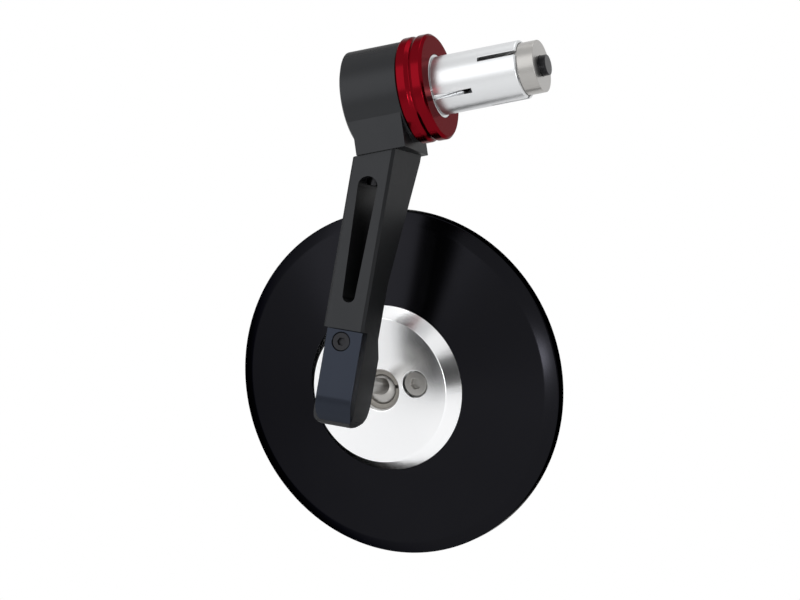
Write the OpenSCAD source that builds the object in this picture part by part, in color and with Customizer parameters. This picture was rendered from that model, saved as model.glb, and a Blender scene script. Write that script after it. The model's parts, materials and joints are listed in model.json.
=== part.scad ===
// Bar end mirror for a motorcycle, in millimetres.
// The X axis is the handlebar's axis: +X runs into the bar and X = 0 is the bar's end.
// +Z is up, and the glass looks back along +Y.

/* [Bar clamp] */
// Diameter of the expander that goes into the handlebar
expander_d = 17; // [16.5:0.1:20]
// Length of the expander sleeve
expander_len = 26; // [24:0.5:34]
// Width of each slit in the expander sleeve
slit_w = 1.4; // [1:0.1:2]
// Diameter of the clamp bolt
bolt_d = 6; // [5:0.1:6.4]
// Outer diameter of the accent ring
ring_d = 30.8; // [30:0.1:36]
// Width of the accent ring along the bar
ring_w = 8.3; // [7:0.1:12]
// Depth of the groove round the accent ring
ring_groove = 0.6; // [0.4:0.1:1.4]

/* [Head] */
// Diameter of the round head
head_d = 29.2; // [28:0.1:32]
// Length of the head along the bar
head_len = 17.6; // [16.5:0.1:24]
// Length of the turned cone on the head's outer end
head_cone = 2.2; // [1:0.1:3]
// Depth of the foot under the head, front to back
foot_depth = 25.4; // [24:0.1:27]
// Distance from the bar's axis down to the foot's face
foot_drop = 17.1; // [16.5:0.1:20]

/* [Arm] */
// Angle by which the arm leans outboard
arm_lean = 19; // [10:0.5:24]
// Distance along the arm from the foot to the ball stud
arm_reach = 65.6; // [62:0.5:90]
// Width of the arm along the bar
arm_w = 12.3; // [12:0.1:14]
// Depth of the arm where it meets the foot
arm_top_depth = 22.4; // [20:0.1:24]
// Depth of the arm at its slimmest
arm_waist_depth = 13.4; // [13:0.1:15]
// Depth of the knuckle at the arm's end
knuckle_depth = 16.3; // [15.5:0.1:18]
// Radius of the slot's upper end
slot_top_r = 3; // [2.8:0.05:3.4]
// Radius of the slot's lower end
slot_low_r = 1.9; // [1.2:0.05:2.6]
// Length of the slot, end to end
slot_len = 36.5; // [25:0.5:40]
// Thickness of the cap on the knuckle
cap_t = 4; // [3.5:0.1:4.5]

/* [Ball joint] */
// Diameter of the ball
ball_d = 11; // [10:0.1:12]
// Diameter of the ball stud's neck
neck_d = 4.8; // [4:0.1:5.2]
// Distance from the knuckle's back to the ball's centre
ball_reach = 27.5; // [22:0.5:34]
// Wall of the ball seat
seat_wall = 1.4; // [1.2:0.1:1.6]

/* [Mirror] */
// Outer diameter of the housing
disc_d = 102; // [92:0.5:116]
// Height of the housing's outer wall
rim_h = 3.6; // [3.2:0.1:5]
// Width of the bevel round the housing's back
bevel_w = 3.6; // [2:0.1:5]
// Height of the bevel
bevel_h = 2; // [1:0.1:3]
// Rise of the housing's back from the bevel to the hub
cone_rise = 7.1; // [6.8:0.1:10]
// Wall of the housing
shell_wall = 2.4; // [1.8:0.1:2.8]
// Thickness of the mirror glass
glass_t = 2.2; // [1.8:0.1:2.4]
// Diameter of the hub
hub_d = 48.8; // [46:0.2:52]
// Height of the hub above the housing
hub_h = 4.5; // [4:0.1:5.5]
// Width of the hub's chamfer
hub_chamfer = 3.1; // [1:0.1:4]
// Distance between the two hub screws
hub_screw_pitch = 23.2; // [22.5:0.1:26]
// Turn of the mirror about the bar's direction, as set for the rider
rest_tilt = 11.3; // [0:0.1:15]
// Turn of the mirror towards the rider
rest_pan = 7.6; // [0:0.1:12]

/* [Hidden] */
$fn = 64;

// Clearances
fit = 0.05;
free = 0.15;
end_gap = 0.2;
past = 1;
eps = 0.01;
far = 2 * arm_reach;

// Bar clamp
expander_r = expander_d / 2;
bolt_r = bolt_d / 2;
bolt_head_r = bolt_d * 5 / 6;
bolt_head_h = bolt_d;
bolt_key = 5;
adapter_r = expander_r + 0.7;
journal_r = 7;
journal_len = 5;
taper_r = 5.6;
taper_len = 8;
taper_wide = 2;
tip_step = 0.4;
sleeve_web = 3;
washer_r = bolt_head_r + 1;
washer_t = 1.2;
nut_tail = 5;
bolt_tail = 2;
bolt_end = expander_len + nut_tail + bolt_tail;

// Head
head_r = head_d / 2;
head_in = -ring_w;
head_out = head_in - head_len;
head_mid = (head_in + head_out) / 2;
head_rim = 1.6;
head_sink = 0.8;
pocket_depth = bolt_head_h + washer_t + head_sink;
foot_inset = 0.4;
foot_taper = 2.6;

// Arm, in its own frame: Z runs up the arm from the middle of its joint with the foot
arm_shift = 1.6;
arm_front = -12;
arm_top = 12;
arm_end_r = knuckle_depth / 2;
arm_tail = 13;
waist_top = -arm_reach * 0.55;
waist_low = -arm_reach * 0.8;
knuckle_top = -arm_reach * 0.88;
arm_edge = 0.8;
corner_r = 4.4;
corner_drop = 0.9;
slot_top = -6.8;
cap_len = 14.6;
cap_top = cap_len - arm_reach;
cap_step = 1.4;
cap_screw_drop = 3.6;
cap_screw_z = cap_top - cap_screw_drop;

// Small screws: radii of shank and head, height of the head, length and key
arm_screw_r = 1.5;
arm_screw_head_r = 2.35;
arm_screw_head_h = 2.8;
arm_screw_len = 16;
arm_screw_key = 2;
arm_screw_y = [-6.2, 4.6];
arm_screw_seat = slot_top + 0.4;
arm_screw_room = 4;
cap_bolt_r = 1.5;
cap_bolt_head_r = 2.6;
cap_bolt_head_h = 1.8;
cap_bolt_len = 8;
cap_bolt_key = 2;
cap_bolt_seat = arm_front + cap_bolt_head_h + end_gap;
hub_screw_r = 2;
hub_screw_head_r = 3.5;
hub_screw_head_h = 2.6;
hub_screw_len = 8;
hub_screw_key = 3;
hub_screw_sink = 0.5;

// Ball joint
ball_r = ball_d / 2;
neck_r = neck_d / 2;
seat_in = ball_r + fit;
seat_out = seat_in + seat_wall;
socket_r = seat_out + fit;
hub_face = 5;
mouth_r = 6.3;
mouth_depth = 1.2;
mouth_flare = 0.8;
seat_top = 3.4;
seat_low = -4.4;
seat_slit = 1;
stud_r = 2.5;
stud_nut_r = 4.6;
stud_nut_h = 3.6;
collar_r = 4.4;
collar_t = 2.4;

// Mirror, in its own frame: the ball's centre is the origin and Z points out of the back
disc_r = disc_d / 2;
hub_r = hub_d / 2;
hub_seat = hub_face - hub_h;
bevel_top = hub_seat - cone_rise;
rim_top = bevel_top - bevel_h;
rim_low = rim_top - rim_h;
glass_inset = 0.3;
pad_t = 0.5;
pad_margin = 0.6;
rim_wall = 2.4;
glass_low = rim_low + glass_inset;
glass_top = glass_low + glass_t;
pad_top = glass_top + pad_t;
glass_r = disc_r - rim_wall;
web_r = 17.5;
web_t = 3;
web_low = hub_seat - web_t;
spigot = 2.4;
plate_r = 22;
plate_gap = 0.1;
plate_room = 1.6;
plate_floor = 1;
bevel_r = disc_r - bevel_w;
hollow_step = 3;
hollow_r = bevel_r - hollow_step;

// Places in the part's own frame
stud_x = head_mid - arm_shift - arm_reach * sin(arm_lean);
stud_z = -foot_drop - arm_reach * cos(arm_lean);
knuckle_back = arm_front + knuckle_depth;
ball_y = knuckle_back + ball_reach;

// A round bar along X from x1 to x2
module rod_x(r, x1, x2) {
    translate([x1, 0, 0]) rotate([0, 90, 0]) cylinder(r = r, h = x2 - x1);
}

// A solid turned about the X axis from points [x, radius]
module turned_x(points) {
    rotate([0, 90, 0]) rotate_extrude() polygon([for (p = points) [p[1], p[0]]]);
}

// A hexagon's corner radius from its width across the flats
function hex_r(w) = w / sqrt(3);

// A cap screw along Z: the head's seat is at z = 0 and the shank runs to +Z
module cap_screw_z(shank_r, shank_len, head_r, head_h, key) {
    difference() {
        union() {
            translate([0, 0, -head_h]) cylinder(r = head_r, h = head_h);
            cylinder(r = shank_r, h = shank_len);
        }
        translate([0, 0, -head_h - eps]) cylinder(r = hex_r(key), h = head_h * 0.6, $fn = 6);
    }
}

module in_arm_frame() {
    translate([head_mid - arm_shift, 0, -foot_drop]) rotate([0, arm_lean, 0]) children();
}

module in_mirror_frame() {
    translate([stud_x, ball_y, stud_z])
        rotate([rest_tilt, 0, 0]) rotate([0, 0, -rest_pan]) rotate([90, 0, 0]) children();
}

module accent_ring() {
    groove_half = 1.1;
    edge = 0.7;
    ring_r = ring_d / 2;
    color("crimson") turned_x([
        [-ring_w, adapter_r + fit], [-ring_w, ring_r - edge], [-ring_w + edge, ring_r],
        [-ring_w / 2 - groove_half, ring_r], [-ring_w / 2, ring_r - ring_groove],
        [-ring_w / 2 + groove_half, ring_r], [-edge, ring_r], [0, ring_r - edge],
        [0, adapter_r + fit]]);
}

module bar_adapter() {
    taper_start = 0.5;
    taper_tip = 0.6;
    color("silver") turned_x([
        [-ring_w - journal_len, bolt_r + free], [-ring_w - journal_len, journal_r],
        [-ring_w, journal_r], [-ring_w, adapter_r], [-fit, adapter_r],
        [-fit, taper_r + taper_wide], [taper_start, taper_r + taper_wide],
        [taper_len, taper_r - taper_tip], [taper_len, bolt_r + free]]);
}

// Three slits run in from each end and stop short of the middle
module expander_sleeve() {
    slit_len = (expander_len - sleeve_web) / 2;
    bore_r = taper_r + fit;
    mouth = taper_r + taper_wide + 2 * fit;
    color("gainsboro") difference() {
        turned_x([[0, mouth], [0, expander_r], [expander_len - tip_step, expander_r],
                  [expander_len, expander_r - tip_step], [expander_len, mouth],
                  [expander_len - taper_len + 1, bore_r], [taper_len - 1, bore_r]]);
        for (k = [0:2]) rotate([120 * k, 0, 0])
            translate([-past, -slit_w / 2, 0]) cube([slit_len + past, slit_w, expander_d]);
        for (k = [0:2]) rotate([120 * k + 60, 0, 0])
            translate([expander_len - slit_len, -slit_w / 2, 0])
                cube([slit_len + past, slit_w, expander_d]);
    }
}

module taper_nut() {
    big_r = taper_r + taper_wide;
    start = expander_len - taper_len + 1.6;
    color("dimgray") turned_x([
        [start, bolt_r + fit], [start, taper_r - 0.3], [expander_len - end_gap, big_r],
        [expander_len + nut_tail, big_r], [expander_len + nut_tail, bolt_r + fit]]);
}

module bolt_washer() {
    seat = head_out + pocket_depth;
    color("silver") difference() {
        rod_x(washer_r, seat - washer_t, seat);
        rod_x(bolt_r + free, seat - washer_t - past, seat + past);
    }
}

module clamp_bolt() {
    seat = head_out + pocket_depth - washer_t;
    color("gray") difference() {
        union() {
            rod_x(bolt_head_r, seat - bolt_head_h, seat);
            rod_x(bolt_r, seat - eps, bolt_end);
        }
        translate([seat - bolt_head_h - eps, 0, 0]) rotate([0, 90, 0])
            cylinder(r = hex_r(bolt_key), h = bolt_head_h * 0.6, $fn = 6);
    }
}

module head() {
    cone_slope = 2;
    rim_r = head_r - head_rim;
    color([0.1, 0.1, 0.11]) difference() {
        intersection() {
            union() {
                rod_x(head_r, head_out, head_in);
                translate([0, 0, -foot_drop]) linear_extrude(height = foot_drop) polygon([
                    [head_out, -foot_depth / 2], [head_in - foot_inset, -foot_depth / 2],
                    [head_in - foot_taper, foot_depth / 2], [head_out, foot_depth / 2]]);
            }
            turned_x([[head_out, 0], [head_out, rim_r],
                      [head_out + head_cone, rim_r + cone_slope * head_cone],
                      [head_out + head_cone, foot_drop * 2], [head_in, foot_drop * 2],
                      [head_in, 0]]);
        }
        rod_x(washer_r + free, head_out - past, head_out + pocket_depth);
        rod_x(bolt_r + free, head_out, head_in + past);
        rod_x(journal_r + fit, head_in - journal_len - end_gap, head_in + past);
        in_arm_frame() for (y = arm_screw_y) translate([0, y, arm_screw_seat])
            cylinder(r = arm_screw_r + fit, h = arm_screw_len + head_sink);
    }
}

// The arm's outline from the side: Y across, Z up the arm
module arm_side() {
    back_top = arm_front + arm_top_depth;
    back_waist = arm_front + arm_waist_depth;
    end_z = -arm_reach - arm_tail + arm_end_r;
    polygon([[arm_front, arm_top], [arm_front, end_z], [knuckle_back, end_z],
             [knuckle_back, knuckle_top], [back_waist, waist_low], [back_waist, waist_top],
             [back_top, 0], [back_top, arm_top]]);
    translate([arm_front + arm_end_r, end_z]) circle(r = arm_end_r);
}

// The arm's outline from the front: X across, Z up the arm
module arm_face(width_out) {
    half = arm_w / 2;
    low = -arm_reach - arm_tail - corner_drop;
    function corner(x, from) = [for (a = [0:22.5:90])
        [x + corner_r * cos(from + a), low + corner_r * (1 + sin(from + a))]];
    polygon(concat([[-width_out, arm_top]], corner(corner_r - width_out, 180),
                   corner(half - corner_r, 270), [[half, arm_top]]));
}

// The slot's outline: two round ends joined by their tangents
module slot_outline() {
    top = slot_top - slot_top_r;
    low = slot_top - slot_len + slot_low_r;
    lean = asin((slot_top_r - slot_low_r) / (top - low));
    translate([0, top]) circle(r = slot_top_r);
    translate([0, low]) circle(r = slot_low_r);
    polygon([for (s = [-1, 1]) [s * slot_top_r * cos(lean), top + slot_top_r * sin(lean)],
             for (s = [1, -1]) [s * slot_low_r * cos(lean), low + slot_low_r * sin(lean)]]);
}

// An outline drawn in X and Z, given depth from y1 to y2
module depth_y(y1, y2) {
    translate([0, y2, 0]) rotate([90, 0, 0]) linear_extrude(height = y2 - y1) children();
}

// The arm's full solid before its cuts
module arm_blank(width_out) {
    intersection() {
        translate([-arm_w, 0, 0]) rotate([90, 0, 90]) linear_extrude(height = 2 * arm_w) arm_side();
        depth_y(-far, far) arm_face(width_out);
    }
}

module above_foot() {
    translate([-far, -far, -foot_drop]) cube([2 * far, 2 * far, far]);
}

module arm() {
    half = arm_w / 2;
    edge_w = arm_edge * sqrt(2);
    color([0.13, 0.13, 0.14]) difference() {
        in_arm_frame() difference() {
            arm_blank(half);
            depth_y(-far, far) slot_outline();
            for (s = [-1, 1]) translate([s * half, arm_front, cap_top - past]) rotate([0, 0, 45])
                translate([-edge_w / 2, -edge_w / 2, 0]) cube([edge_w, edge_w, far]);
            translate([-arm_w, arm_front - past, cap_top - far]) cube([2 * arm_w, cap_t + past, far]);
            translate([0, far, -arm_reach]) rotate([90, 0, 0])
                cylinder(r = stud_r + fit, h = 2 * far);
            translate([0, arm_front, -arm_reach]) rotate([-90, 0, 0])
                cylinder(r = stud_nut_r + free, h = cap_t + stud_nut_h + free);
            translate([0, arm_front, cap_screw_z]) rotate([-90, 0, 0])
                cylinder(r = cap_bolt_r + fit, h = cap_bolt_len + past + cap_bolt_head_h + end_gap);
            for (y = arm_screw_y) translate([0, y, slot_top - arm_screw_room]) {
                cylinder(r = arm_screw_head_r + free, h = arm_screw_room + arm_screw_seat - slot_top);
                cylinder(r = arm_screw_r + free, h = far);
            }
        }
        above_foot();
    }
}

module arm_screws() {
    color("dimgray") in_arm_frame() for (y = arm_screw_y) translate([0, y, arm_screw_seat])
        cap_screw_z(arm_screw_r, arm_screw_len, arm_screw_head_r, arm_screw_head_h, arm_screw_key);
}

module tip_cap() {
    color([0.15, 0.15, 0.18]) in_arm_frame() difference() {
        intersection() {
            arm_blank(arm_w / 2 - cap_step);
            translate([-arm_w, arm_front, cap_top - far]) cube([2 * arm_w, cap_t, far - end_gap]);
        }
        translate([0, arm_front - past, cap_screw_z]) rotate([-90, 0, 0]) {
            cylinder(r = cap_bolt_head_r + free, h = past + cap_bolt_head_h + end_gap);
            cylinder(r = cap_bolt_r + free, h = far);
        }
    }
}

module cap_screw() {
    color("silver") in_arm_frame() translate([0, cap_bolt_seat, cap_screw_z]) rotate([-90, 0, 0])
        cap_screw_z(cap_bolt_r, cap_bolt_len, cap_bolt_head_r, cap_bolt_head_h, cap_bolt_key);
}

module ball_stud() {
    stud_in = knuckle_depth - cap_t - free;
    color("gray") translate([stud_x, ball_y, stud_z]) rotate([-90, 0, 0]) {
        sphere(r = ball_r);
        translate([0, 0, -ball_reach]) cylinder(r = neck_r, h = ball_reach);
        translate([0, 0, -ball_reach]) cylinder(r = collar_r, h = collar_t, $fn = 6);
        translate([0, 0, -ball_reach - stud_in]) cylinder(r = stud_r, h = stud_in + eps);
    }
}

module stud_nut() {
    color("silver") translate([stud_x, arm_front + cap_t + free, stud_z]) rotate([-90, 0, 0])
        difference() {
            cylinder(r = stud_nut_r, h = stud_nut_h, $fn = 6);
            translate([0, 0, -past]) cylinder(r = stud_r + fit, h = stud_nut_h + 2 * past);
        }
}

module ball_seat() {
    color("ivory") in_mirror_frame() difference() {
        intersection() {
            sphere(r = seat_out);
            translate([0, 0, seat_low]) cylinder(r = ball_d, h = seat_top - seat_low);
        }
        sphere(r = seat_in);
        translate([0, -seat_slit / 2, seat_low - past]) cube([ball_d, seat_slit, ball_d]);
    }
}

module hub() {
    screw_seat = hub_face - hub_screw_head_h - hub_screw_sink;
    color("silver") in_mirror_frame() difference() {
        rotate_extrude() polygon([
            [0, hub_seat - spigot], [web_r - fit, hub_seat - spigot], [web_r - fit, hub_seat],
            [hub_r, hub_seat], [hub_r - hub_chamfer, hub_face], [0, hub_face]]);
        sphere(r = socket_r);
        translate([0, 0, hub_face - mouth_depth])
            cylinder(r1 = mouth_r - mouth_flare, r2 = mouth_r, h = mouth_depth + eps);
        for (s = [-1, 1]) translate([s * hub_screw_pitch / 2, 0, 0]) {
            translate([0, 0, -far]) cylinder(r = hub_screw_r + free, h = 2 * far);
            translate([0, 0, screw_seat]) cylinder(r = hub_screw_head_r + hub_screw_sink, h = far);
        }
    }
}

module socket_plate() {
    plate_top = hub_seat - spigot - plate_gap;
    color("dimgray") in_mirror_frame() difference() {
        rotate_extrude() polygon([[0, pad_top], [plate_r, pad_top], [plate_r, web_low],
            [web_r - fit, web_low], [web_r - fit, plate_top], [0, plate_top]]);
        sphere(r = socket_r);
        for (s = [-1, 1]) translate([s * hub_screw_pitch / 2, 0, pad_top + plate_floor])
            cylinder(r = hub_screw_r + fit, h = far);
    }
}

module hub_screws() {
    seat = hub_face - hub_screw_head_h - hub_screw_sink;
    color("gainsboro") in_mirror_frame() for (s = [-1, 1])
        translate([s * hub_screw_pitch / 2, 0, seat]) mirror([0, 0, 1])
            cap_screw_z(hub_screw_r, hub_screw_len, hub_screw_head_r, hub_screw_head_h, hub_screw_key);
}

module housing() {
    hollow_top = bevel_top - shell_wall + pad_margin;
    color([0.06, 0.06, 0.065]) in_mirror_frame() rotate_extrude() polygon([
        [web_r, hub_seat], [hub_r, hub_seat], [bevel_r, bevel_top], [disc_r, rim_top],
        [disc_r, rim_low], [glass_r + free, rim_low], [glass_r + free, pad_top],
        [hollow_r, pad_top], [hollow_r, hollow_top], [plate_r + plate_room, web_low],
        [web_r, web_low]]);
}

module glass_pad() {
    color("gray") in_mirror_frame() translate([0, 0, glass_top])
        cylinder(r = glass_r - pad_margin, h = pad_top - glass_top);
}

module glass() {
    color("lightcyan") in_mirror_frame() translate([0, 0, glass_low])
        cylinder(r = glass_r, h = glass_t);
}

accent_ring();
bar_adapter();
expander_sleeve();
taper_nut();
clamp_bolt();
bolt_washer();
head();
arm();
arm_screws();
tip_cap();
cap_screw();
ball_stud();
stud_nut();
ball_seat();
hub();
socket_plate();
hub_screws();
housing();
glass_pad();
glass();
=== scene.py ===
"""Bar end mirror: fine pieces, finishes and a studio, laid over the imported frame."""
import json
import math

import bmesh
import bpy
from bpy.props import FloatProperty, FloatVectorProperty, IntProperty, PointerProperty
from mathutils import Matrix, Vector


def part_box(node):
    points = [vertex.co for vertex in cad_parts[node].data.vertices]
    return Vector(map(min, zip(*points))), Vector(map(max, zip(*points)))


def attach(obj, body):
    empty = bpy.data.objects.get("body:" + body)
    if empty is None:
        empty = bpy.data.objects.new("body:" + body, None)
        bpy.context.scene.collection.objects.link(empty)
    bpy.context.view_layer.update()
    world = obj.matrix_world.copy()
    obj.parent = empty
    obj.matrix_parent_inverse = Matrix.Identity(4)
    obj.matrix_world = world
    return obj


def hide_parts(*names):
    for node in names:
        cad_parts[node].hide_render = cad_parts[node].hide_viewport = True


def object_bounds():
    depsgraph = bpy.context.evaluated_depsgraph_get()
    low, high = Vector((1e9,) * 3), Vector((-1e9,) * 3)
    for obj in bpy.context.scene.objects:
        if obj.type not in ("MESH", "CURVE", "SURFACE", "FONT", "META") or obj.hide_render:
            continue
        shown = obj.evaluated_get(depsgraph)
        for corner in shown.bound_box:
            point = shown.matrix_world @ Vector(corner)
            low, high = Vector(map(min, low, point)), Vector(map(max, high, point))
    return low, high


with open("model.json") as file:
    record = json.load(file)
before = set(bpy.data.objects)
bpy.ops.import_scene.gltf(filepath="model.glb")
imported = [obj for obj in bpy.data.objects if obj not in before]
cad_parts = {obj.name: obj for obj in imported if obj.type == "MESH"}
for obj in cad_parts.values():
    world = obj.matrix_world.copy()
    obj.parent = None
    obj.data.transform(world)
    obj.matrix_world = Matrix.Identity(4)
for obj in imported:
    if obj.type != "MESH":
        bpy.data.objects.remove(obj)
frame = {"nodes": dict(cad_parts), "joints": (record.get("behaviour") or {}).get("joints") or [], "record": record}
CAD_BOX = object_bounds()

bl_info = {
    "name": "Bar End Mirror",
    "version": (1, 0, 0),
    "blender": (4, 5, 0),
    "location": "View3D > Sidebar > Mirror",
    "description": "Finishes a round bar end mirror with a slotted arm and sets it in a studio",
    "category": "Object",
}

MM = 0.001
RECORD = frame["record"]
BODY_OF = {node: body for body, nodes in RECORD["behaviour"]["bodies"].items() for node in nodes}
JOINTS = {joint["name"]: joint for joint in frame["joints"]}

# The mirror's own axes: the ball's centre and the axis that points out of its back
BALL = Vector(JOINTS["mirror_tilt"]["pos_m"])
PAN_AXIS = Vector(JOINTS["mirror_pan"]["axis"]).normalized()
REST_PAN = math.radians(-7.6)
BACK_AXIS = Matrix.Rotation(REST_PAN, 3, PAN_AXIS) @ PAN_AXIS.cross(Vector((-1, 0, 0))).normalized()
ACROSS = BACK_AXIS.cross(PAN_AXIS).normalized()
MIRROR_PLACE = Matrix.Translation(BALL) @ Matrix(
    (ACROSS, BACK_AXIS.cross(ACROSS), BACK_AXIS)).transposed().to_4x4()

# Where the image's right and up point in the part's frame
VIEW_RIGHT = Vector((0.929, 0.342, -0.140)).normalized()
VIEW_TOWARD = VIEW_RIGHT.cross(Vector((0.172, -0.064, 0.983))).normalized()
VIEW_UP = VIEW_TOWARD.cross(VIEW_RIGHT)

# The housing's outline in its own frame, (radius, height) in mm: out over its back, then in
# along its inner face
HOUSING_OUTLINE = [
    (17.5, 0.5), (24.4, 0.5), (47.4, -6.6), (51.0, -8.6), (51.0, -12.2), (48.75, -12.2),
    (48.75, -9.2), (44.4, -9.2), (44.4, -8.4), (23.6, -2.5), (17.5, -2.5)]

# The clamp bolt's thread, a short length at the end of its shank, and how deep its ridge's middle
# lies in the shank
SHANK_R = 3.0 * MM
THREAD_RIDGE = 0.22 * MM
THREAD_SINK = 0.9 * THREAD_RIDGE
THREAD_TURNS = 1.2

# The knurled heads of the hub's two screws, in the mirror's own frame
HUB_SCREW_OUT = 11.6 * MM
HUB_SCREW_HEAD = 3.1 * MM
KNURL_R = 3.5 * MM
KNURL_RIDGE = 0.14 * MM
KNURL_HEIGHT = 1.9 * MM

# How fine copies are made: loose corners closer than WELD are one, faces that turn less than
# FLAT are one, and edges that turn more than SHARP are rounded
WELD = 0.002 * MM
FLAT = math.radians(0.5)
SHARP = math.radians(20)
ROUNDING_STEPS = 3
SMOOTH = math.radians(35)
SEAM = 0.001 * MM

# Finishes: how deep the grain is, how large and of what colour the handling marks are, and how
# metallic the satin and the smooth black are, which was fitted to patches of the photo under
# these lights and isn't a measured property
GRAIN_DEPTH = 0.02 * MM
MARK_SCALE = 90.0
MARK_COLOUR = (0.55, 0.58, 0.62, 1.0)
SATIN_METALLIC = 0.72
SMOOTH_METALLIC = 0.8

# The studio: the floor's depth under the mirror and its half width, its own glow to the camera
# and to gloss, the world's level where it lights, each light's direction and size at
# LIGHT_DISTANCE, the black card that shows in reflections, and the camera
FLOOR_DROP = 0.30
FLOOR_REACH = 6.0
FLOOR_GLOW = 0.45
WORLD_LEVEL = 0.5
LIGHT_DISTANCE = 1.0
KEY_LIGHT = (-0.45, -0.78, 0.43), 0.9
TOP_LIGHT = (0.15, 0.2, 1.0), 0.6
STRIP_LIGHT = (0.42, -0.87, -0.26), 0.16
CARD_WAY = Vector((0.968, -0.213, -0.05))
CARD_DISTANCE = 0.5
CARD_WIDTH = 0.32
SENSOR = 36.0
VIEW_END = 20.0


# Meshes

def link_mesh(name, mesh):
    """Return a new object for a mesh, in the scene, at the origin."""
    obj = bpy.data.objects.new(name, mesh)
    bpy.context.scene.collection.objects.link(obj)
    return obj


def bake_modifiers(obj):
    """Turn an object's modifiers into its plain mesh."""
    bpy.context.view_layer.update()
    seen = obj.evaluated_get(bpy.context.evaluated_depsgraph_get())
    data = bpy.data.meshes.new_from_object(seen)
    old = obj.data
    obj.modifiers.clear()
    obj.data = data
    bpy.data.meshes.remove(old)


def smooth_faces(obj, angle):
    """Shade a mesh smooth but for edges sharper than an angle."""
    obj.data.polygons.foreach_set("use_smooth", [True] * len(obj.data.polygons))
    obj.data.set_sharp_from_angle(angle=angle)


def fine_copy(node, width):
    """Copy a CAD node, join its loose triangles and round its sharp edges."""
    mesh = bmesh.new()
    mesh.from_mesh(frame["nodes"][node].data)
    bmesh.ops.remove_doubles(mesh, verts=mesh.verts, dist=WELD)
    bmesh.ops.dissolve_limit(mesh, angle_limit=FLAT, verts=mesh.verts, edges=mesh.edges)
    data = bpy.data.meshes.new(node + "_fine")
    mesh.to_mesh(data)
    mesh.free()
    obj = link_mesh(node + "_fine", data)
    smooth_faces(obj, math.pi)
    bevel = obj.modifiers.new("rounding", "BEVEL")
    bevel.width = width
    bevel.segments = ROUNDING_STEPS
    bevel.limit_method = "ANGLE"
    bevel.angle_limit = SHARP
    bevel.loop_slide = False
    bevel.harden_normals = True
    weigh = obj.modifiers.new("flat faces", "WEIGHTED_NORMAL")
    weigh.mode = "FACE_AREA"
    weigh.weight = 100
    bake_modifiers(obj)
    return obj


def rounded_outline(corners, radius, steps=4):
    """Round each corner of a closed outline with a small arc."""
    points = []
    for k, corner in enumerate(corners):
        before = corners[k - 1] - corner
        after = corners[(k + 1) % len(corners)] - corner
        cut = min(radius, before.length / 3, after.length / 3)
        first = corner + before.normalized() * cut
        last = corner + after.normalized() * cut
        for step in range(steps + 1):
            share = step / steps
            points.append(first * (1 - share) ** 2 + corner * 2 * share * (1 - share)
                          + last * share ** 2)
    return points


def add_fitting(obj, node, material):
    """Let a piece ride with a CAD node and share its finish."""
    obj.data.materials.clear()
    obj.data.materials.append(material)
    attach(obj, BODY_OF[node])


def place_piece(obj, node, material):
    """Let a piece stand for a CAD node, on its body and with its finish."""
    add_fitting(obj, node, material)
    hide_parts(node)


def place_copies(nodes, width, material):
    """Let fine copies stand for CAD nodes."""
    for node in nodes:
        place_piece(fine_copy(node, width), node, material)


# Geometry trees

def new_tree(name, inputs):
    """Build an empty geometry tree with a geometry socket and named inputs."""
    tree = bpy.data.node_groups.new(name, "GeometryNodeTree")
    tree.interface.new_socket("Geometry", in_out="INPUT", socket_type="NodeSocketGeometry")
    for label, kind in inputs:
        tree.interface.new_socket(label, in_out="INPUT", socket_type=kind)
    tree.interface.new_socket("Geometry", in_out="OUTPUT", socket_type="NodeSocketGeometry")
    return tree, tree.nodes.new("NodeGroupInput"), tree.nodes.new("NodeGroupOutput")


def finish_tree(tree, start, end, geometry):
    """Close a tree with Realize Instances and Set Material."""
    real = tree.nodes.new("GeometryNodeRealizeInstances")
    finish = tree.nodes.new("GeometryNodeSetMaterial")
    tree.links.new(geometry, real.inputs["Geometry"])
    tree.links.new(real.outputs[0], finish.inputs["Geometry"])
    tree.links.new(start.outputs["Material"], finish.inputs["Material"])
    tree.links.new(finish.outputs[0], end.inputs["Geometry"])


def run_tree(obj, tree, values):
    """Run a geometry tree on an object with values for its named inputs, and keep the mesh."""
    modifier = obj.modifiers.new(tree.name, "NODES")
    modifier.node_group = tree
    for item in tree.interface.items_tree:
        if item.in_out == "INPUT" and item.name in values:
            modifier[item.identifier] = values[item.name]
    bake_modifiers(obj)
    smooth_faces(obj, SMOOTH)


def tree_math(tree, operation, *values):
    """Add a Math node to a node tree and return its output."""
    node = tree.nodes.new("ShaderNodeMath")
    node.operation = operation
    for index, value in enumerate(values):
        if isinstance(value, bpy.types.NodeSocket):
            tree.links.new(value, node.inputs[index])
        else:
            node.inputs[index].default_value = value
    return node.outputs[0]


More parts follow.
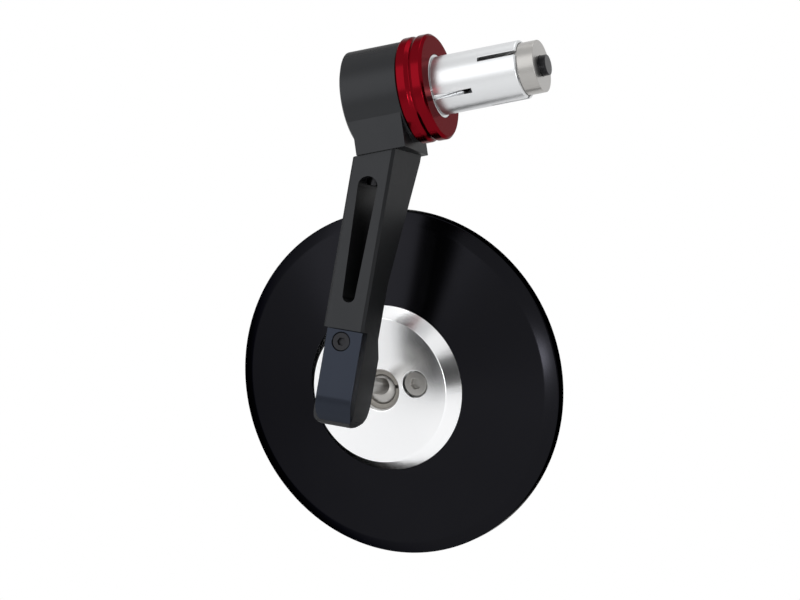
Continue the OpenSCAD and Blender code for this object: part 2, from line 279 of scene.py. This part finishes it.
def turned_shell_tree():
    """Turn an outline of [radius, 0, height] about the Z axis."""
    tree, start, end = new_tree("Turned Shell", [("Segments", "NodeSocketInt"),
                                                ("Material", "NodeSocketMaterial")])
    nodes, links = tree.nodes, tree.links
    count = nodes.new("GeometryNodeAttributeDomainSize")
    links.new(start.outputs["Geometry"], count.inputs["Geometry"])
    points = count.outputs["Point Count"]
    grid = nodes.new("GeometryNodeMeshGrid")
    links.new(tree_math(tree, "ADD", start.outputs["Segments"], 1.0), grid.inputs["Vertices X"])
    links.new(points, grid.inputs["Vertices Y"])
    index = nodes.new("GeometryNodeInputIndex").outputs[0]
    along = tree_math(tree, "FLOOR", tree_math(tree, "DIVIDE", index, points))
    across = tree_math(tree, "MODULO", index, points)
    part = tree_math(tree, "DIVIDE", along, start.outputs["Segments"])
    turn = tree_math(tree, "MULTIPLY", part, math.tau)
    place = nodes.new("GeometryNodeInputPosition")
    sample = nodes.new("GeometryNodeSampleIndex")
    sample.data_type = "FLOAT_VECTOR"
    links.new(start.outputs["Geometry"], sample.inputs["Geometry"])
    links.new(place.outputs[0], sample.inputs["Value"])
    links.new(across, sample.inputs["Index"])
    split = nodes.new("ShaderNodeSeparateXYZ")
    links.new(sample.outputs["Value"], split.inputs[0])
    join = nodes.new("ShaderNodeCombineXYZ")
    for axis, way in (("X", "COSINE"), ("Y", "SINE")):
        swing = tree_math(tree, way, turn)
        links.new(tree_math(tree, "MULTIPLY", split.outputs["X"], swing), join.inputs[axis])
    links.new(split.outputs["Z"], join.inputs["Z"])
    moved = nodes.new("GeometryNodeSetPosition")
    links.new(grid.outputs["Mesh"], moved.inputs["Geometry"])
    links.new(join.outputs[0], moved.inputs["Position"])
    merged = nodes.new("GeometryNodeMergeByDistance")
    merged.inputs["Distance"].default_value = SEAM
    links.new(moved.outputs[0], merged.inputs["Geometry"])
    finish_tree(tree, start, end, merged.outputs[0])
    return tree


def thread_tree():
    """Wind a thread's ridge about the Z axis."""
    tree, start, end = new_tree("Thread Ridge", [
        ("Radius", "NodeSocketFloat"), ("Pitch", "NodeSocketFloat"), ("Turns", "NodeSocketFloat"),
        ("Ridge", "NodeSocketFloat"), ("Material", "NodeSocketMaterial")])
    nodes, links = tree.nodes, tree.links
    spiral = nodes.new("GeometryNodeCurveSpiral")
    spiral.inputs["Resolution"].default_value = 40
    links.new(start.outputs["Turns"], spiral.inputs["Rotations"])
    for end_name in ("Start Radius", "End Radius"):
        links.new(start.outputs["Radius"], spiral.inputs[end_name])
    links.new(tree_math(tree, "MULTIPLY", start.outputs["Turns"], start.outputs["Pitch"]),
              spiral.inputs["Height"])
    ridge = nodes.new("GeometryNodeCurvePrimitiveCircle")
    ridge.inputs["Resolution"].default_value = 6
    links.new(start.outputs["Ridge"], ridge.inputs["Radius"])
    sweep = nodes.new("GeometryNodeCurveToMesh")
    sweep.inputs["Fill Caps"].default_value = True
    links.new(spiral.outputs[0], sweep.inputs["Curve"])
    links.new(ridge.outputs[0], sweep.inputs["Profile Curve"])
    finish_tree(tree, start, end, sweep.outputs[0])
    return tree


def knurl_tree():
    """Stand fine ridges round the Z axis, for the grip on a screw's head."""
    tree, start, end = new_tree("Head Knurl", [
        ("Count", "NodeSocketInt"), ("Radius", "NodeSocketFloat"), ("Ridge", "NodeSocketFloat"),
        ("Height", "NodeSocketFloat"), ("Material", "NodeSocketMaterial")])
    nodes, links = tree.nodes, tree.links
    circle = nodes.new("GeometryNodeCurvePrimitiveCircle")
    links.new(start.outputs["Count"], circle.inputs["Resolution"])
    links.new(start.outputs["Radius"], circle.inputs["Radius"])
    ridge = nodes.new("GeometryNodeMeshCylinder")
    ridge.inputs["Vertices"].default_value = 6
    links.new(start.outputs["Ridge"], ridge.inputs["Radius"])
    links.new(start.outputs["Height"], ridge.inputs["Depth"])
    spread = nodes.new("GeometryNodeInstanceOnPoints")
    points = nodes.new("GeometryNodeCurveToPoints")
    points.mode = "EVALUATED"
    links.new(circle.outputs[0], points.inputs["Curve"])
    links.new(points.outputs["Points"], spread.inputs["Points"])
    links.new(ridge.outputs["Mesh"], spread.inputs["Instance"])
    finish_tree(tree, start, end, spread.outputs[0])
    return tree


# Shader groups

def new_group(name, inputs, outputs):
    """Build an empty shader group from lists of (name, kind, default)."""
    group = bpy.data.node_groups.new(name, "ShaderNodeTree")
    for label, kind, default in inputs:
        socket = group.interface.new_socket(label, in_out="INPUT", socket_type=kind)
        if default is not None:
            socket.default_value = default
    for label, kind in outputs:
        group.interface.new_socket(label, in_out="OUTPUT", socket_type=kind)
    return group, group.nodes.new("NodeGroupInput"), group.nodes.new("NodeGroupOutput")


def vector_node(tree, operation, a, b):
    """Add a Vector Math node and return it."""
    node = tree.nodes.new("ShaderNodeVectorMath")
    node.operation = operation
    for index, value in enumerate((a, b)):
        if isinstance(value, bpy.types.NodeSocket):
            tree.links.new(value, node.inputs[index])
        elif value is not None:
            node.inputs[index].default_value = value
    return node


def noise_node(tree, vector, scale, detail=4.0):
    """Add a Noise Texture on a vector and return its factor."""
    node = tree.nodes.new("ShaderNodeTexNoise")
    node.inputs["Detail"].default_value = detail
    if isinstance(scale, bpy.types.NodeSocket):
        tree.links.new(scale, node.inputs["Scale"])
    else:
        node.inputs["Scale"].default_value = scale
    tree.links.new(vector, node.inputs["Vector"])
    return node.outputs[0]


def surface_grain():
    """Return the group for fine grain and faint handling marks."""
    if "Surface Grain" in bpy.data.node_groups:
        return bpy.data.node_groups["Surface Grain"]
    inputs = [("Vector", "NodeSocketVector", None), ("Grain Scale", "NodeSocketFloat", 2600.0),
              ("Roughness", "NodeSocketFloat", 0.35), ("Spread", "NodeSocketFloat", 0.08),
              ("Colour", "NodeSocketColor", (0.04, 0.04, 0.042, 1.0)),
              ("Tint", "NodeSocketFloat", 0.25)]
    outputs = [("Colour", "NodeSocketColor"), ("Roughness", "NodeSocketFloat"),
               ("Height", "NodeSocketFloat")]
    group, start, end = new_group("Surface Grain", inputs, outputs)
    grain = noise_node(group, start.outputs["Vector"], start.outputs["Grain Scale"], 3.0)
    cloud = noise_node(group, start.outputs["Vector"], MARK_SCALE, 5.0)
    shift = tree_math(group, "SUBTRACT", cloud, 0.5)
    spread = tree_math(group, "MULTIPLY", shift, start.outputs["Spread"])
    rough = tree_math(group, "ADD", start.outputs["Roughness"], spread)
    group.links.new(rough, end.inputs["Roughness"])
    group.links.new(grain, end.inputs["Height"])
    mix = group.nodes.new("ShaderNodeMix")
    mix.data_type = "RGBA"
    mix.blend_type = "MULTIPLY"
    group.links.new(tree_math(group, "MULTIPLY", cloud, start.outputs["Tint"]), mix.inputs[0])
    group.links.new(start.outputs["Colour"], mix.inputs[6])
    mix.inputs[7].default_value = MARK_COLOUR
    group.links.new(mix.outputs[2], end.inputs["Colour"])
    return group


def turned_rings():
    """Return the group for the rings that turning leaves about an axis."""
    if "Turned Rings" in bpy.data.node_groups:
        return bpy.data.node_groups["Turned Rings"]
    inputs = [("Vector", "NodeSocketVector", None), ("Centre", "NodeSocketVector", None),
              ("Axis", "NodeSocketVector", None), ("Ring Scale", "NodeSocketFloat", 9000.0),
              ("Roughness", "NodeSocketFloat", 0.25), ("Spread", "NodeSocketFloat", 0.1)]
    outputs = [("Height", "NodeSocketFloat"), ("Roughness", "NodeSocketFloat")]
    group, start, end = new_group("Turned Rings", inputs, outputs)
    offset = vector_node(group, "SUBTRACT", start.outputs["Vector"], start.outputs["Centre"])
    around = vector_node(group, "CROSS_PRODUCT", offset.outputs[0], start.outputs["Axis"])
    length = vector_node(group, "LENGTH", around.outputs[0], None)
    rings = tree_math(group, "MULTIPLY", length.outputs["Value"], start.outputs["Ring Scale"])
    line = group.nodes.new("ShaderNodeTexNoise")
    line.noise_dimensions = "1D"
    line.inputs["Scale"].default_value = 1.0
    line.inputs["Detail"].default_value = 3.0
    group.links.new(rings, line.inputs["W"])
    group.links.new(line.outputs[0], end.inputs["Height"])
    shift = tree_math(group, "SUBTRACT", line.outputs[0], 0.5)
    spread = tree_math(group, "MULTIPLY", shift, start.outputs["Spread"])
    group.links.new(tree_math(group, "ADD", start.outputs["Roughness"], spread),
                    end.inputs["Roughness"])
    return group


# Materials

def new_material(name):
    """Return a node material, its tree and its Principled shader."""
    material = bpy.data.materials.new(name)
    material.use_nodes = True
    return material, material.node_tree, material.node_tree.nodes["Principled BSDF"]


def bump_from(tree, height, strength):
    """Turn a height into a normal."""
    bump = tree.nodes.new("ShaderNodeBump")
    bump.inputs["Strength"].default_value = strength
    bump.inputs["Distance"].default_value = GRAIN_DEPTH
    tree.links.new(height, bump.inputs["Height"])
    return bump.outputs[0]


def grained(name, colour, roughness, spread=0.08, grain=3200.0, strength=0.2, metallic=1.0,
            sheen=1.0, tint=0.2):
    """A finish with fine grain and faint handling marks, whose gloss is tinted by its sheen."""
    material, tree, shader = new_material(name)
    place = tree.nodes.new("ShaderNodeTexCoord")
    look = tree.nodes.new("ShaderNodeGroup")
    look.node_tree = surface_grain()
    tree.links.new(place.outputs["Object"], look.inputs["Vector"])
    look.inputs["Grain Scale"].default_value = grain
    look.inputs["Roughness"].default_value = roughness
    look.inputs["Spread"].default_value = spread
    look.inputs["Tint"].default_value = tint
    look.inputs["Colour"].default_value = (*colour, 1.0)
    tree.links.new(look.outputs["Colour"], shader.inputs["Base Color"])
    tree.links.new(look.outputs["Roughness"], shader.inputs["Roughness"])
    tree.links.new(bump_from(tree, look.outputs["Height"], strength), shader.inputs["Normal"])
    shader.inputs["Metallic"].default_value = metallic
    shader.inputs["Specular Tint"].default_value = (sheen, sheen, sheen, 1.0)
    return material


def turned(name, colour, roughness, centre, axis, ring_scale, anisotropic, strength):
    """Bright turned metal, whose marks run round an axis."""
    material, tree, shader = new_material(name)
    place = tree.nodes.new("ShaderNodeTexCoord")
    look = tree.nodes.new("ShaderNodeGroup")
    look.node_tree = turned_rings()
    tree.links.new(place.outputs["Object"], look.inputs["Vector"])
    look.inputs["Centre"].default_value = centre
    look.inputs["Axis"].default_value = axis
    look.inputs["Ring Scale"].default_value = ring_scale
    look.inputs["Roughness"].default_value = roughness
    tree.links.new(look.outputs["Roughness"], shader.inputs["Roughness"])
    tree.links.new(bump_from(tree, look.outputs["Height"], strength), shader.inputs["Normal"])
    offset = vector_node(tree, "SUBTRACT", place.outputs["Object"], centre)
    around = vector_node(tree, "CROSS_PRODUCT", offset.outputs[0], axis)
    tree.links.new(around.outputs[0], shader.inputs["Tangent"])
    shader.inputs["Base Color"].default_value = (*colour, 1.0)
    shader.inputs["Metallic"].default_value = 1.0
    shader.inputs["Anisotropic"].default_value = anisotropic
    return material


def dull(name, level):
    """Return a plain dull grey material, its tree and its shader."""
    material, tree, shader = new_material(name)
    shader.inputs["Base Color"].default_value = (level, level, level, 1.0)
    shader.inputs["Roughness"].default_value = 0.9
    return material, tree, shader


def finish_of(name, make):
    """Return a material by name, made the first time it is asked for."""
    return bpy.data.materials.get(name) or make(name)


def zinc_plate(look):
    """Return the finish of the plated steel pieces."""
    return finish_of("zinc_plate", lambda name: grained(
        name, look.zinc_colour, 0.3, spread=0.12, grain=2400.0))


def black_oxide(look):
    """Return the finish of the black screws."""
    return finish_of("black_oxide", lambda name: grained(
        name, look.screw_colour, 0.34, spread=0.12, grain=2600.0, strength=0.3))


def turned_aluminium(look):
    """Return the finish of the bare turned pieces, whose marks run round the bar's axis."""
    return finish_of("turned_aluminium", lambda name: turned(
        name, look.bare_colour, 0.32, (0, 0, 0), (1, 0, 0), ring_scale=7000.0,
        anisotropic=0.3, strength=0.2))


# Settings

def colour_prop(name, about, default):
    """A colour setting."""
    return FloatVectorProperty(name=name, description=about, default=default, size=3,
                               subtype="COLOR", min=0.0, max=1.0)


def length_prop(name, about, default, low, high):
    """A length setting."""
    return FloatProperty(name=name, description=about, default=default, min=low, max=high,
                         unit="LENGTH", precision=5)


def share_prop(name, about, default):
    """A roughness setting."""
    return FloatProperty(name=name, description=about, default=default, min=0.05, max=1.0,
                         subtype="FACTOR")


def power_prop(name, about, default):
    """A light's power."""
    return FloatProperty(name=name, description=about, default=default, min=0.0, max=100.0,
                         unit="POWER")


class MirrorFinish(bpy.types.PropertyGroup):
    """Colours and finishes of the mirror."""
    body_colour: colour_prop("Body", "Colour of the head and the arm", (0.030, 0.031, 0.033))
    cap_colour: colour_prop("Cap", "Colour of the cap on the knuckle", (0.022, 0.026, 0.036))
    disc_colour: colour_prop("Housing", "Colour of the mirror's housing", (0.010, 0.010, 0.012))
    ring_colour: colour_prop("Ring", "Colour of the accent ring", (0.15, 0.003, 0.007))
    hub_colour: colour_prop("Hub", "Colour of the turned hub", (0.88, 0.885, 0.895))
    bare_colour: colour_prop("Expander", "Colour of the bare aluminium", (0.62, 0.63, 0.64))
    zinc_colour: colour_prop("Plated steel", "Colour of the plated steel", (0.38, 0.37, 0.355))
    screw_colour: colour_prop("Black screws", "Colour of the black screws", (0.026, 0.026, 0.028))
    body_roughness: share_prop("Body roughness", "Roughness of the head and the arm", 0.36)
    disc_roughness: share_prop("Housing roughness", "Roughness of the mirror's housing", 0.22)


class MirrorFitting(bpy.types.PropertyGroup):
    """Sizes of edges, threads and knurls."""
    edge: length_prop("Edge", "Rounding of the arm's edges", 0.35 * MM, 0.05 * MM, 0.6 * MM)
    fine_edge: length_prop("Fine edge", "Rounding of the small pieces' edges", 0.15 * MM,
                           0.02 * MM, 0.3 * MM)
    disc_segments: IntProperty(name="Housing segments", description="Facets round the housing",
                               default=256, min=32, max=1024)
    thread_pitch: length_prop("Thread pitch", "Pitch of the clamp bolt's thread", 1.0 * MM,
                              0.5 * MM, 2 * MM)
    knurl_count: IntProperty(name="Knurl", description="Ridges round each knurled head",
                             default=36, min=12, max=72)


class MirrorStudio(bpy.types.PropertyGroup):
    """Light and view."""
    key_power: power_prop("Key light", "Power of the light before the arm", 2.6)
    top_power: power_prop("Top light", "Power of the light overhead", 1.5)
    strip_power: power_prop("Strip light", "Power of the small light low in front", 1.6)
    view_width: length_prop("View width", "Width of the view at the mirror", 0.232, 0.1, 1.0)
    view_distance: length_prop("View distance", "Distance of the camera", 1.6, 0.5, 5.0)


# Steps

class MIRROR_OT_body(bpy.types.Operator):
    """Make the head and the slotted arm with rounded edges, in satin black"""
    bl_idname = "mirror.body"
    bl_label = "Head and arm"

    def execute(self, context):
        look, size = context.scene.mirror_finish, context.scene.mirror_fitting
        satin = finish_of("satin_black_anodising", lambda name: grained(
            name, look.body_colour, look.body_roughness, strength=0.35,
            metallic=SATIN_METALLIC, sheen=0.35))
        place_copies(("head", "arm"), size.edge, satin)
        return {"FINISHED"}


class MIRROR_OT_cap(bpy.types.Operator):
    """Make the smooth cap on the knuckle"""
    bl_idname = "mirror.cap"
    bl_label = "Knuckle cap"

    def execute(self, context):
        look, size = context.scene.mirror_finish, context.scene.mirror_fitting
        smooth = finish_of("smooth_black_anodising", lambda name: grained(
            name, look.cap_colour, 0.2, spread=0.05, strength=0.08,
            metallic=SMOOTH_METALLIC, sheen=0.35))
        place_copies(("tip_cap",), size.edge, smooth)
        return {"FINISHED"}


class MIRROR_OT_ring(bpy.types.Operator):
    """Make the red accent ring"""
    bl_idname = "mirror.ring"
    bl_label = "Accent ring"

    def execute(self, context):
        look, size = context.scene.mirror_finish, context.scene.mirror_fitting
        red = finish_of("red_anodising", lambda name: grained(
            name, look.ring_colour, 0.2, spread=0.05, strength=0.08, sheen=0.5))
        place_copies(("accent_ring",), size.fine_edge, red)
        return {"FINISHED"}


class MIRROR_OT_clamp(bpy.types.Operator):
    """Make the adapter, the expander sleeve, the taper nut and the washer"""
    bl_idname = "mirror.clamp"
    bl_label = "Bar clamp"

    def execute(self, context):
        look, size = context.scene.mirror_finish, context.scene.mirror_fitting
        place_copies(("bar_adapter", "expander_sleeve"), size.fine_edge, turned_aluminium(look))
        place_copies(("taper_nut", "bolt_washer"), size.fine_edge, zinc_plate(look))
        return {"FINISHED"}


class MIRROR_OT_bolt(bpy.types.Operator):
    """Make the clamp bolt with its thread"""
    bl_idname = "mirror.bolt"
    bl_label = "Clamp bolt"

    def execute(self, context):
        look, size = context.scene.mirror_finish, context.scene.mirror_fitting
        dark = black_oxide(look)
        place_copies(("clamp_bolt",), size.fine_edge, dark)
        thread = link_mesh("clamp_bolt_thread", bpy.data.meshes.new("clamp_bolt_thread"))
        run_tree(thread, thread_tree(), {
            "Radius": SHANK_R - THREAD_SINK, "Pitch": size.thread_pitch,
            "Turns": THREAD_TURNS, "Ridge": THREAD_RIDGE, "Material": dark})
        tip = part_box("clamp_bolt")[1].x
        start = tip - THREAD_TURNS * size.thread_pitch - 2 * THREAD_RIDGE
        thread.data.transform(Matrix.Translation((start, 0, 0)) @ Matrix.Rotation(
            math.pi / 2, 4, "Y"))
        add_fitting(thread, "clamp_bolt", dark)
        return {"FINISHED"}


class MIRROR_OT_screws(bpy.types.Operator):
    """Make the small cap screws and the knurl on the hub's two"""
    bl_idname = "mirror.screws"
    bl_label = "Small screws"

    def execute(self, context):
        look, size = context.scene.mirror_finish, context.scene.mirror_fitting
        zinc = zinc_plate(look)
        place_copies(("arm_screws", "cap_screw"), size.fine_edge, black_oxide(look))
        place_copies(("hub_screws",), size.fine_edge, zinc)
        knurl = knurl_tree()
        for side, label in ((-1, "left"), (1, "right")):
            ridges = link_mesh("hub_screw_knurl_" + label, bpy.data.meshes.new("hub_screw_knurl"))
            run_tree(ridges, knurl, {
                "Count": size.knurl_count, "Radius": KNURL_R, "Ridge": KNURL_RIDGE,
                "Height": KNURL_HEIGHT, "Material": zinc})
            centre = Matrix.Translation((side * HUB_SCREW_OUT, 0, HUB_SCREW_HEAD))
            ridges.data.transform(MIRROR_PLACE @ centre)
            add_fitting(ridges, "hub_screws", zinc)
        return {"FINISHED"}


class MIRROR_OT_joint(bpy.types.Operator):
    """Make the ball stud, its nut, the nylon seat and the socket plate"""
    bl_idname = "mirror.joint"
    bl_label = "Ball joint"

    def execute(self, context):
        look, size = context.scene.mirror_finish, context.scene.mirror_fitting
        nylon = finish_of("grey_nylon", lambda name: grained(
            name, (0.32, 0.30, 0.27), 0.5, grain=1800.0, metallic=0.0))
        place_copies(("ball_stud", "stud_nut"), size.fine_edge, zinc_plate(look))
        place_copies(("ball_seat",), size.fine_edge, nylon)
        place_copies(("socket_plate",), size.fine_edge, turned_aluminium(look))
        return {"FINISHED"}


class MIRROR_OT_hub(bpy.types.Operator):
    """Make the bright turned hub"""
    bl_idname = "mirror.hub"
    bl_label = "Hub"

    def execute(self, context):
        look, size = context.scene.mirror_finish, context.scene.mirror_fitting
        bright = finish_of("face_turned_aluminium", lambda name: turned(
            name, look.hub_colour, 0.2, BALL, BACK_AXIS, ring_scale=5200.0, anisotropic=0.8,
            strength=0.2))
        place_copies(("hub",), size.fine_edge, bright)
        return {"FINISHED"}


class MIRROR_OT_housing(bpy.types.Operator):
    """Turn the round housing from its outline"""
    bl_idname = "mirror.housing"
    bl_label = "Housing"

    def execute(self, context):
        look, size = context.scene.mirror_finish, context.scene.mirror_fitting
        black = finish_of("gloss_black_anodising", lambda name: grained(
            name, look.disc_colour, look.disc_roughness, spread=0.04, strength=0.05, sheen=0.15))
        corners = [Vector((radius * MM, height * MM)) for radius, height in HOUSING_OUTLINE]
        outline = rounded_outline(corners, size.edge)
        mesh = bpy.data.meshes.new("housing_fine")
        mesh.from_pydata([(p.x, 0, p.y) for p in outline + outline[:1]],
                         [(k, k + 1) for k in range(len(outline))], [])
        obj = link_mesh("housing_fine", mesh)
        run_tree(obj, turned_shell_tree(), {"Segments": size.disc_segments, "Material": black})
        obj.data.transform(MIRROR_PLACE)
        place_piece(obj, "housing", black)
        return {"FINISHED"}


class MIRROR_OT_glass(bpy.types.Operator):
    """Make the mirror glass with its ground edge, and the pad behind it"""
    bl_idname = "mirror.glass"
    bl_label = "Glass and pad"

    def execute(self, context):
        size = context.scene.mirror_fitting
        silver = finish_of("silvered_glass", lambda name: grained(
            name, (0.90, 0.92, 0.93), 0.03, spread=0.02, grain=60.0, strength=0.0, tint=0.02))
        foam = finish_of("black_foam", lambda name: grained(
            name, (0.03, 0.03, 0.03), 0.85, grain=1500.0, strength=0.8, metallic=0.0))
        place_copies(("glass",), size.edge, silver)
        place_copies(("glass_pad",), size.fine_edge, foam)
        return {"FINISHED"}


class MIRROR_OT_stage(bpy.types.Operator):
    """Set the floor, the lights and the camera"""
    bl_idname = "mirror.stage"
    bl_label = "Stage"

    def execute(self, context):
        look = context.scene.mirror_studio
        low, high = Vector(CAD_BOX[0]), Vector(CAD_BOX[1])
        middle = (low + high) / 2
        self.floor(low.z - FLOOR_DROP)
        self.world(context.scene)
        self.camera(context.scene, look, middle)
        self.area("key_light", middle, *KEY_LIGHT, look.key_power)
        self.area("top_light", middle, *TOP_LIGHT, look.top_power)
        self.area("strip_light", middle, *STRIP_LIGHT, look.strip_power)
        self.card(middle)
        return {"FINISHED"}

    @staticmethod
    def sheet(name, centre, right, up, material):
        """Add a flat square from its middle and its half sides."""
        mesh = bpy.data.meshes.new(name)
        mesh.from_pydata([centre - right - up, centre + right - up,
                          centre + right + up, centre - right + up], [], [(0, 1, 2, 3)])
        obj = link_mesh(name, mesh)
        obj.data.materials.append(material)
        return obj

    def card(self, target):
        """Stand a black card beside the mirror, which shows only in reflections."""
        away = CARD_WAY.normalized()
        side = away.cross(Vector((0, 0, 1))).normalized()
        half = CARD_WIDTH / 2
        obj = self.sheet("flag", target + away * CARD_DISTANCE, side * half,
                         side.cross(away) * half, dull("black_card", 0.01)[0])
        obj.visible_camera = False
        obj.visible_shadow = False
        obj.visible_diffuse = False

    @staticmethod
    def pale_floor():
        """Return a pale floor that shows near white to the camera and keeps its shadows."""
        material, tree, shader = dull("pale_floor", 0.93)
        shader.inputs["Emission Color"].default_value = (1, 1, 1, 1)
        path = tree.nodes.new("ShaderNodeLightPath")
        seen = tree_math(tree, "MAXIMUM", path.outputs["Is Camera Ray"],
                         path.outputs["Is Glossy Ray"])
        tree.links.new(tree_math(tree, "MULTIPLY", seen, FLOOR_GLOW),
                       shader.inputs["Emission Strength"])
        return material

    def floor(self, height):
        """Lay a large plain floor."""
        self.sheet("floor", Vector((0, 0, height)), Vector((FLOOR_REACH, 0, 0)),
                   Vector((0, FLOOR_REACH, 0)), self.pale_floor())

    @staticmethod
    def world(scene):
        """Light the scene evenly, and show plain white to the camera, to gloss and in glass."""
        world = bpy.data.worlds.new("studio")
        scene.world = world
        world.use_nodes = True
        tree = world.node_tree
        back = tree.nodes["Background"]
        back.inputs["Color"].default_value = (1, 1, 1, 1)
        path = tree.nodes.new("ShaderNodeLightPath")
        clear = tree_math(tree, "MAXIMUM", path.outputs["Is Camera Ray"],
                          path.outputs["Is Transmission Ray"])
        seen = tree_math(tree, "MAXIMUM", clear, path.outputs["Is Glossy Ray"])
        tree.links.new(tree_math(tree, "MULTIPLY_ADD", seen, 1.0 - WORLD_LEVEL, WORLD_LEVEL),
                       back.inputs["Strength"])

    @staticmethod
    def area(name, target, direction, size, power):
        """Add a square area light in a direction from a point, aimed at it."""
        data = bpy.data.lights.new(name, "AREA")
        data.size = size
        data.energy = power
        obj = bpy.data.objects.new(name, data)
        away = Vector(direction).normalized()
        obj.location = target + away * LIGHT_DISTANCE
        obj.rotation_euler = (-away).to_track_quat("-Z", "Y").to_euler()
        bpy.context.scene.collection.objects.link(obj)

    @staticmethod
    def camera(scene, look, middle):
        """Place the camera on the photo's line of sight, with the photo's roll."""
        data = bpy.data.cameras.new("camera")
        data.sensor_width = SENSOR
        data.lens = SENSOR * look.view_distance / look.view_width
        data.clip_end = VIEW_END
        obj = bpy.data.objects.new("camera", data)
        turn = Matrix((VIEW_RIGHT, VIEW_UP, VIEW_TOWARD)).transposed().to_4x4()
        obj.matrix_world = Matrix.Translation(middle + VIEW_TOWARD * look.view_distance) @ turn
        scene.collection.objects.link(obj)
        scene.camera = obj
        scene.view_settings.view_transform = "Standard"


# Panel and start

STEPS = (MIRROR_OT_body, MIRROR_OT_cap, MIRROR_OT_ring, MIRROR_OT_clamp, MIRROR_OT_bolt,
         MIRROR_OT_screws, MIRROR_OT_joint, MIRROR_OT_hub, MIRROR_OT_housing, MIRROR_OT_glass,
         MIRROR_OT_stage)


class MIRROR_PT_panel(bpy.types.Panel):
    """Lists the mirror's steps and settings"""
    bl_label = "Bar End Mirror"
    bl_idname = "MIRROR_PT_panel"
    bl_space_type = "VIEW_3D"
    bl_region_type = "UI"
    bl_category = "Mirror"

    def draw(self, context):
        layout = self.layout
        for step in STEPS:
            layout.operator(step.bl_idname)
        scene = context.scene
        for group in (scene.mirror_finish, scene.mirror_fitting, scene.mirror_studio):
            for key in group.__annotations__:
                layout.prop(group, key)


CLASSES = (MirrorFinish, MirrorFitting, MirrorStudio, *STEPS, MIRROR_PT_panel)


def register():
    """Register the classes and the settings."""
    for cls in CLASSES:
        bpy.utils.register_class(cls)
    bpy.types.Scene.mirror_finish = PointerProperty(type=MirrorFinish)
    bpy.types.Scene.mirror_fitting = PointerProperty(type=MirrorFitting)
    bpy.types.Scene.mirror_studio = PointerProperty(type=MirrorStudio)


def unregister():
    """Remove the settings and the classes."""
    del bpy.types.Scene.mirror_studio
    del bpy.types.Scene.mirror_fitting
    del bpy.types.Scene.mirror_finish
    for cls in reversed(CLASSES):
        bpy.utils.unregister_class(cls)


def main():
    """Run every step in order."""
    register()
    for step in STEPS:
        group, action = step.bl_idname.split(".")
        getattr(getattr(bpy.ops, group), action)()
    bpy.context.view_layer.update()


if __name__ == "__main__":
    main()
